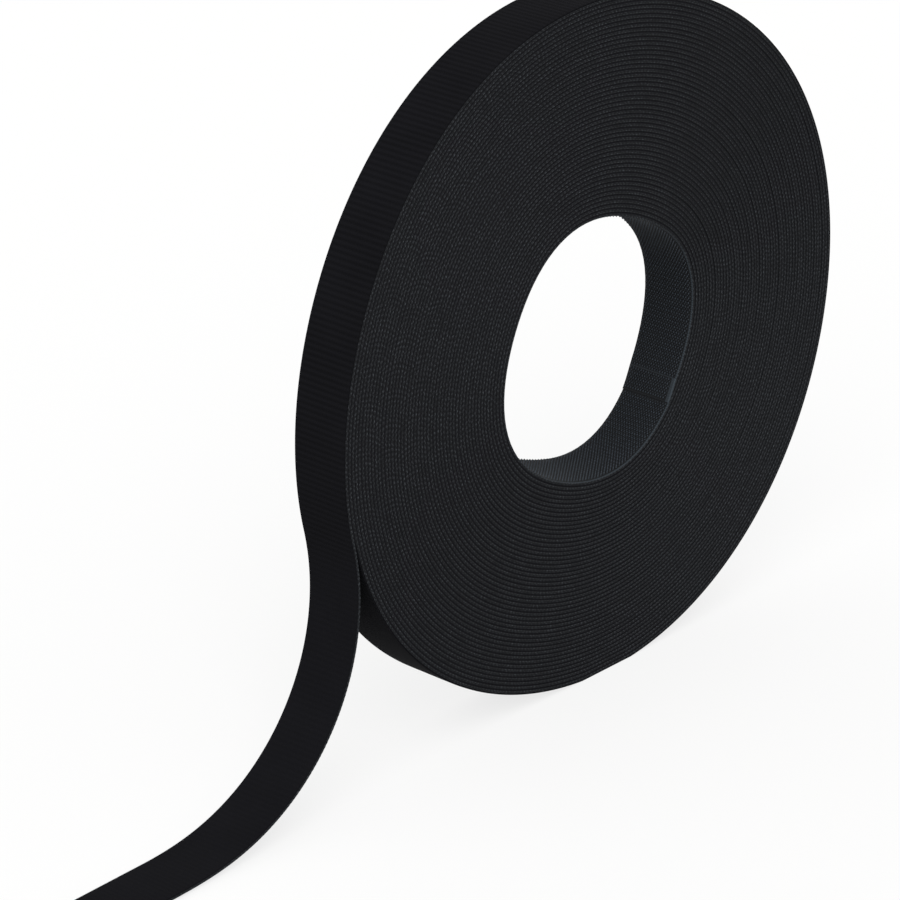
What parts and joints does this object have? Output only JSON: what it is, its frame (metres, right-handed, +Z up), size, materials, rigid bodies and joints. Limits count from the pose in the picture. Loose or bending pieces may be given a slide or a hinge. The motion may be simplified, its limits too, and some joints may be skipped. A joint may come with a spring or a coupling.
{
  "type": "hook and loop tape roll",
  "caption": "Coreless roll of narrow black back-to-back hook and loop tape, wound in a flat spiral and standing on its rim, with a free tail that peels off the winding and lies on the floor.",
  "frame": {"origin": "on the floor, under the roll's centre, at the middle of the tape's width", "axes": "+Z up, Y along the roll's axis with the pictured side facing -Y, the tail runs out along -X"},
  "size_m": [0.3331, 0.02, 0.2219],
  "materials": {
    "hook_ply": "woven tape with fine stiff plastic hooks, dark grey-black, slight gloss",
    "loop_ply": "brushed loop pile, matt black"
  },
  "bodies": {
    "roll": {"hook_ply_wound": "hook_ply", "loop_ply_wound": "loop_ply"},
    "tail": {"hook_ply_tail": "hook_ply", "loop_ply_tail": "loop_ply"}
  },
  "joints": [
    {"name": "tail_peel", "type": "hinge", "parent": "roll", "child": "tail", "pos_m": [-0.10989, 0, 0.0836], "axis": [0, 1, 0], "range_deg": [0, 90]}
  ]
}
